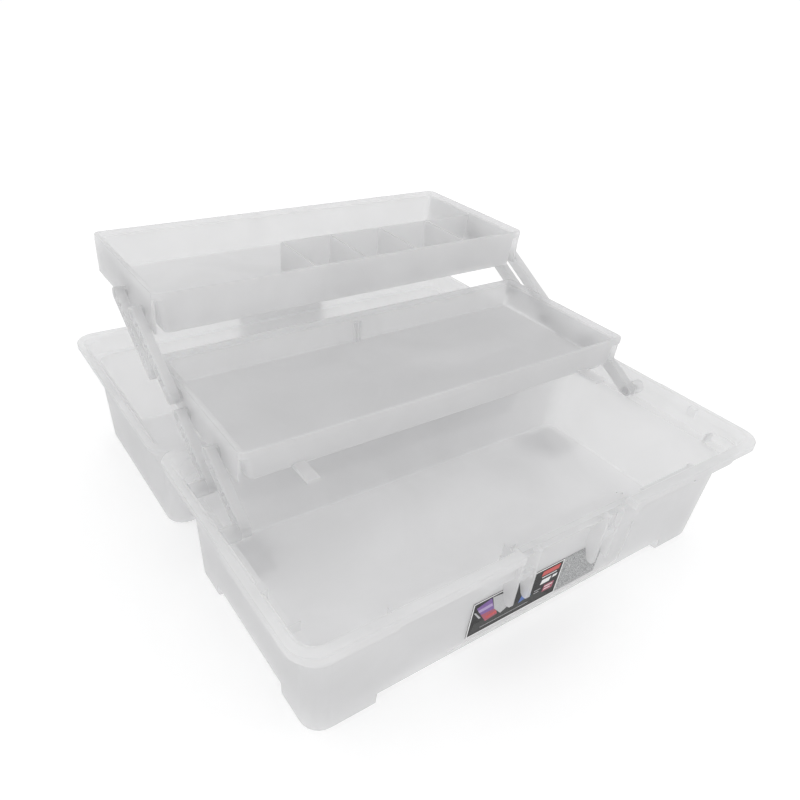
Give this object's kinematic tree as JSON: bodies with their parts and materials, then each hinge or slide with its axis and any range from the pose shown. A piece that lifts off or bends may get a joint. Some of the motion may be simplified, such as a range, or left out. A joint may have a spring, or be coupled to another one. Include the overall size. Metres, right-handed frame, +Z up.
{
  "type": "art supply box",
  "caption": "Clear fold-out art supply box: a tub, a lid that opens flat behind it, cantilever trays on parallel arms, a snap latch and a fold-down handle.",
  "frame": {"origin": "centre of the open box's footprint, on the surface it stands on", "axes": "+X to the right along the hinge, +Y from the front of the tub towards the open lid, +Z up"},
  "size_m": [0.355, 0.3698, 0.1631],
  "materials": {
    "clear_plastic": "frosted translucent polypropylene",
    "arm_plastic": "frosted translucent polypropylene, thicker section",
    "steel_wire": "drawn wire",
    "printed_label": null,
    "speckled_label": "satin printed label, grey speckle"
  },
  "bodies": {
    "tub": {"base_tub": "clear_plastic", "base_pin_front_left": "arm_plastic", "base_pin_front_right": "arm_plastic", "base_pin_rear_left": "arm_plastic", "base_pin_rear_right": "arm_plastic", "hinge_pin_left": "steel_wire", "hinge_pin_right": "steel_wire", "label_panel": "printed_label", "label_side_panel": "speckled_label"},
    "lid": {"lid_shell": "clear_plastic", "latch_pin": "steel_wire"},
    "latch": {"latch": "clear_plastic"},
    "handle": {"carry_handle": "arm_plastic"},
    "lower_front_arms": {"lower_front_arm_left": "arm_plastic", "lower_front_arm_right": "arm_plastic"},
    "lower_rear_arms": {"lower_rear_arm_left": "arm_plastic", "lower_rear_arm_right": "arm_plastic"},
    "lower_tray": {"lower_tray": "clear_plastic", "lower_tray_pin_front_left": "arm_plastic", "lower_tray_pin_front_right": "arm_plastic", "lower_tray_pin_rear_left": "arm_plastic", "lower_tray_pin_rear_right": "arm_plastic", "stage_pin_front_left": "arm_plastic", "stage_pin_front_right": "arm_plastic", "stage_pin_rear_left": "arm_plastic", "stage_pin_rear_right": "arm_plastic"},
    "upper_front_arms": {"upper_front_arm_left": "arm_plastic", "upper_front_arm_right": "arm_plastic"},
    "upper_rear_arms": {"upper_rear_arm_left": "arm_plastic", "upper_rear_arm_right": "arm_plastic"},
    "upper_tray": {"upper_tray": "clear_plastic", "upper_tray_pin_front_left": "arm_plastic", "upper_tray_pin_front_right": "arm_plastic", "upper_tray_pin_rear_left": "arm_plastic", "upper_tray_pin_rear_right": "arm_plastic"}
  },
  "joints": [
    {"name": "lid_hinge", "type": "hinge", "parent": "tub", "child": "lid", "pos_m": [0, -0.00195, 0.08365], "axis": [1, 0, 0], "range_deg": [0, 180]},
    {"name": "lower_front_swing", "type": "hinge", "parent": "tub", "child": "lower_front_arms", "pos_m": [0, -0.08495, 0.08], "axis": [1, 0, 0], "range_deg": [0, 137]},
    {"name": "lower_rear_swing", "type": "hinge", "parent": "tub", "child": "lower_rear_arms", "pos_m": [0, -0.04095, 0.08], "axis": [1, 0, 0], "range_deg": [0, 137]},
    {"name": "lower_tray_level", "type": "hinge", "parent": "lower_front_arms", "child": "lower_tray", "pos_m": [0, -0.04321, 0.1041], "axis": [1, 0, 0], "range_deg": [-137, 0]},
    {"name": "upper_front_swing", "type": "hinge", "parent": "lower_tray", "child": "upper_front_arms", "pos_m": [0, 0.01175, 0.1114], "axis": [1, 0, 0], "range_deg": [0, 133]},
    {"name": "upper_rear_swing", "type": "hinge", "parent": "lower_tray", "child": "upper_rear_arms", "pos_m": [0, 0.04575, 0.1114], "axis": [1, 0, 0], "range_deg": [0, 133]},
    {"name": "upper_tray_level", "type": "hinge", "parent": "upper_front_arms", "child": "upper_tray", "pos_m": [0, 0.06881, 0.14303], "axis": [1, 0, 0], "range_deg": [-133, 0]},
    {"name": "latch_swing", "type": "hinge", "parent": "lid", "child": "latch", "pos_m": [0, 0.17875, 0.078], "axis": [1, 0, 0], "range_deg": [0, 180]},
    {"name": "handle_swing", "type": "hinge", "parent": "lid", "child": "handle", "pos_m": [0, 0.10205, 0.0023], "axis": [-1, 0, 0], "range_deg": [0, 90]}
  ],
  "couplings": [
    {"joint": "lower_front_swing", "follows": "lid_hinge", "ratio": 0.76111},
    {"joint": "lower_rear_swing", "follows": "lid_hinge", "ratio": 0.76111},
    {"joint": "lower_tray_level", "follows": "lid_hinge", "ratio": -0.76111},
    {"joint": "upper_front_swing", "follows": "lid_hinge", "ratio": 0.73889},
    {"joint": "upper_rear_swing", "follows": "lid_hinge", "ratio": 0.73889},
    {"joint": "upper_tray_level", "follows": "lid_hinge", "ratio": -0.73889}
  ]
}
